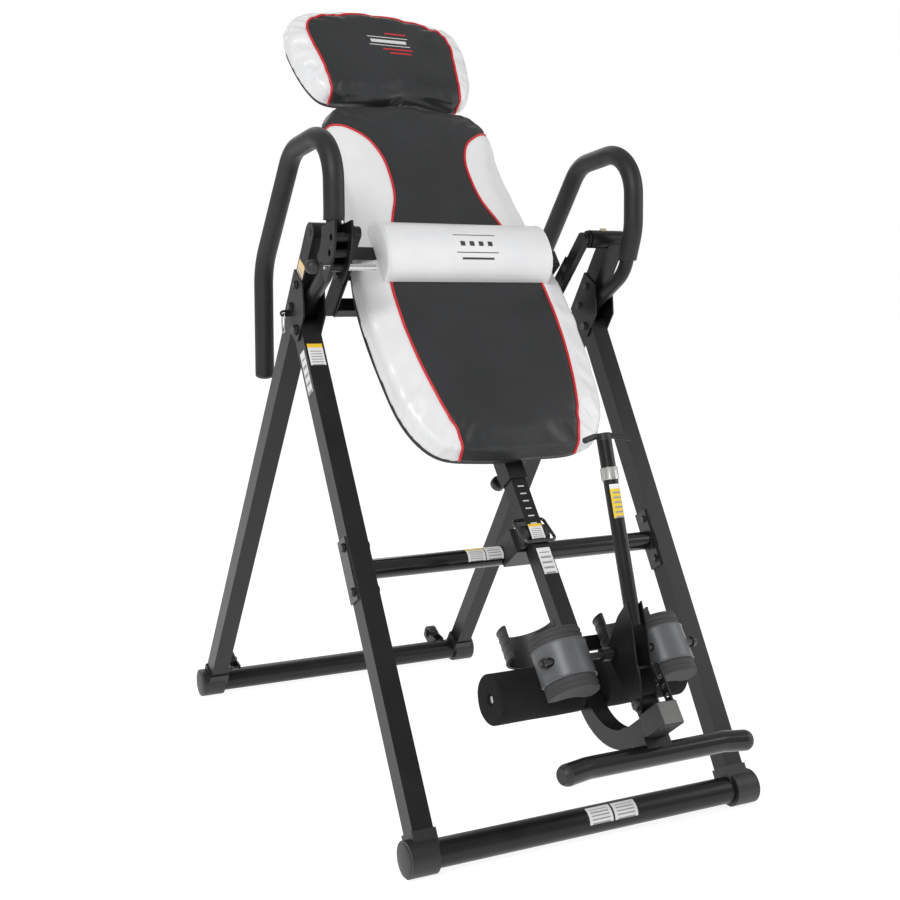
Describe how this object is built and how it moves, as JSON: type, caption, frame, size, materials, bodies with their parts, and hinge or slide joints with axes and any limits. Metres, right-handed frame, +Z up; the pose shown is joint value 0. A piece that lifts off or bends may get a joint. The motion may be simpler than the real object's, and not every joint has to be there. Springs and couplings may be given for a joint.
{
  "type": "inversion table",
  "caption": "Folding A-frame inversion table with tilting padded backrest, headrest, lumbar pad, handlebars, sliding boom and ankle lock.",
  "frame": {"origin": "on the floor, midway between the two base tubes and midway across the stand", "axes": "+Z up, +X to the right of a viewer who faces the foot end, +Y from the foot end to the rear base"},
  "size_m": [0.7334, 1.3831, 1.5557],
  "materials": {
    "black_steel": "satin powder coat",
    "gloss_steel": "gloss powder coat",
    "zinc": "zinc plated",
    "chrome": "polished",
    "black_plastic": "moulded, fine texture",
    "grey_plastic": "moulded, satin",
    "light_plastic": "moulded, satin",
    "grip_foam": "closed-cell foam, matte",
    "roller_foam": "closed-cell foam, matte",
    "ankle_foam": "moulded foam",
    "vinyl": "vinyl cover, red piping, white sides",
    "white_vinyl": "white vinyl cover",
    "board": "painted plywood",
    "webbing": "elastic webbing"
  },
  "bodies": {
    "rear_frame": {"rear_base_tube": "black_steel", "rear_base_caps": "black_plastic", "rear_leg_left": "black_steel", "rear_leg_right": "black_steel", "leg_heads": "black_steel", "rear_frame_bolts": "zinc", "pivot_housings": "black_steel", "pivot_bushes": "black_plastic", "housing_caps": "black_plastic", "handlebar_left": "black_steel", "handlebar_right": "black_steel", "handle_grip_left": "grip_foam", "handle_grip_right": "grip_foam", "selector_plates": "black_steel"},
    "wheel_left": {"transport_wheel_left": "black_plastic"},
    "wheel_right": {"transport_wheel_right": "black_plastic"},
    "angle_pin": {"angle_pin": "chrome", "angle_pin_knob": "black_plastic"},
    "hairpin": {"hairpin_clip": "zinc"},
    "front_frame": {"front_base_tube": "black_steel", "front_base_caps": "black_plastic", "front_leg_left": "black_steel", "front_leg_right": "black_steel", "crossbar": "gloss_steel", "crossbar_bolts": "zinc", "boom_saddle": "black_plastic"},
    "table": {"spine_tube": "black_steel", "cross_beam": "black_steel", "pivot_arms": "black_steel", "table_bolts": "zinc", "backboard": "board", "backrest_pad": "vinyl"},
    "height_pin": {"height_pin": "black_plastic"},
    "lumbar": {"lumbar_pad": "white_vinyl", "lumbar_strap": "webbing"},
    "headrest": {"head_post": "black_steel", "head_board": "board", "headrest_pad": "vinyl"},
    "boom": {"boom_tube": "black_steel", "boom_end_block": "light_plastic", "lever_bolt": "zinc", "foot_bar": "gloss_steel", "foot_bar_caps": "black_plastic", "roller_shaft": "zinc", "heel_bar": "black_steel", "heel_cups": "black_plastic", "ratchet_stay": "black_steel"},
    "roller_left": {"roller_left": "roller_foam"},
    "roller_right": {"roller_right": "roller_foam"},
    "lever": {"lever_plates": "black_steel", "lever_tube": "black_steel", "lever_collar": "zinc", "lever_grip": "black_plastic", "ankle_rod": "zinc"},
    "cup_left": {"ankle_pad_left": "ankle_foam", "ankle_pad_band_left": "grey_plastic"},
    "cup_right": {"ankle_pad_right": "ankle_foam", "ankle_pad_band_right": "grey_plastic"},
    "ratchet": {"ratchet_link": "zinc"},
    "bail": {"wire_bail": "zinc"}
  },
  "joints": [
    {"name": "front_fold", "type": "hinge", "parent": "rear_frame", "child": "front_frame", "pos_m": [0, -0.056, 0.866], "axis": [1, 0, 0], "range_deg": [0, 57]},
    {"name": "table_tilt", "type": "hinge", "parent": "rear_frame", "child": "table", "pos_m": [0, -0.122, 1.043], "axis": [-1, 0, 0], "range_deg": [0, 79]},
    {"name": "boom_slide", "type": "slide", "parent": "table", "child": "boom", "axis": [0, -0.6074, -0.7944], "range_m": [-0.07, 0]},
    {"name": "head_slide", "type": "slide", "parent": "table", "child": "headrest", "axis": [0, 0.6074, 0.7944], "range_m": [0, 0.08]},
    {"name": "lumbar_slide", "type": "slide", "parent": "table", "child": "lumbar", "axis": [0, 0.6074, 0.7944], "range_m": [0, 0.06]},
    {"name": "height_pin_pull", "type": "slide", "parent": "table", "child": "height_pin", "axis": [0, 0.7944, -0.6074], "range_m": [0, 0.012], "stiffness_N_per_m": 800},
    {"name": "angle_pin_pull", "type": "slide", "parent": "rear_frame", "child": "angle_pin", "axis": [-1, 0, 0], "range_m": [0, 0.105]},
    {"name": "hairpin_swing", "type": "hinge", "parent": "rear_frame", "child": "hairpin", "pos_m": [-0.3534, -0.02049, 0.889], "axis": [1, 0, 0], "range_deg": [0, 60]},
    {"name": "wheel_left_spin", "type": "hinge", "parent": "rear_frame", "child": "wheel_left", "pos_m": [-0.27, 0.5885, 0.062], "axis": [1, 0, 0], "continuous": true},
    {"name": "wheel_right_spin", "type": "hinge", "parent": "rear_frame", "child": "wheel_right", "pos_m": [0.27, 0.5885, 0.062], "axis": [1, 0, 0], "continuous": true},
    {"name": "roller_left_spin", "type": "hinge", "parent": "boom", "child": "roller_left", "pos_m": [-0.103, -0.52481, 0.26589], "axis": [1, 0, 0], "continuous": true},
    {"name": "roller_right_spin", "type": "hinge", "parent": "boom", "child": "roller_right", "pos_m": [0.103, -0.52481, 0.26589], "axis": [1, 0, 0], "continuous": true},
    {"name": "ankle_lever", "type": "hinge", "parent": "boom", "child": "lever", "pos_m": [0, -0.69807, 0.2813], "axis": [1, 0, 0], "range_deg": [0, 40]},
    {"name": "cup_left_rock", "type": "hinge", "parent": "lever", "child": "cup_left", "pos_m": [-0.098, -0.62645, 0.34864], "axis": [1, 0, 0], "range_deg": [-15, 15]},
    {"name": "cup_right_rock", "type": "hinge", "parent": "lever", "child": "cup_right", "pos_m": [0.098, -0.62645, 0.34864], "axis": [1, 0, 0], "range_deg": [-15, 15]},
    {"name": "ratchet_swing", "type": "hinge", "parent": "lever", "child": "ratchet", "pos_m": [0.018, -0.68635, 0.33779], "axis": [1, 0, 0], "range_deg": [-5, 20]},
    {"name": "bail_swing", "type": "hinge", "parent": "boom", "child": "bail", "pos_m": [0, -0.32802, 0.52328], "axis": [-1, 0, 0], "range_deg": [0, 45]}
  ]
}
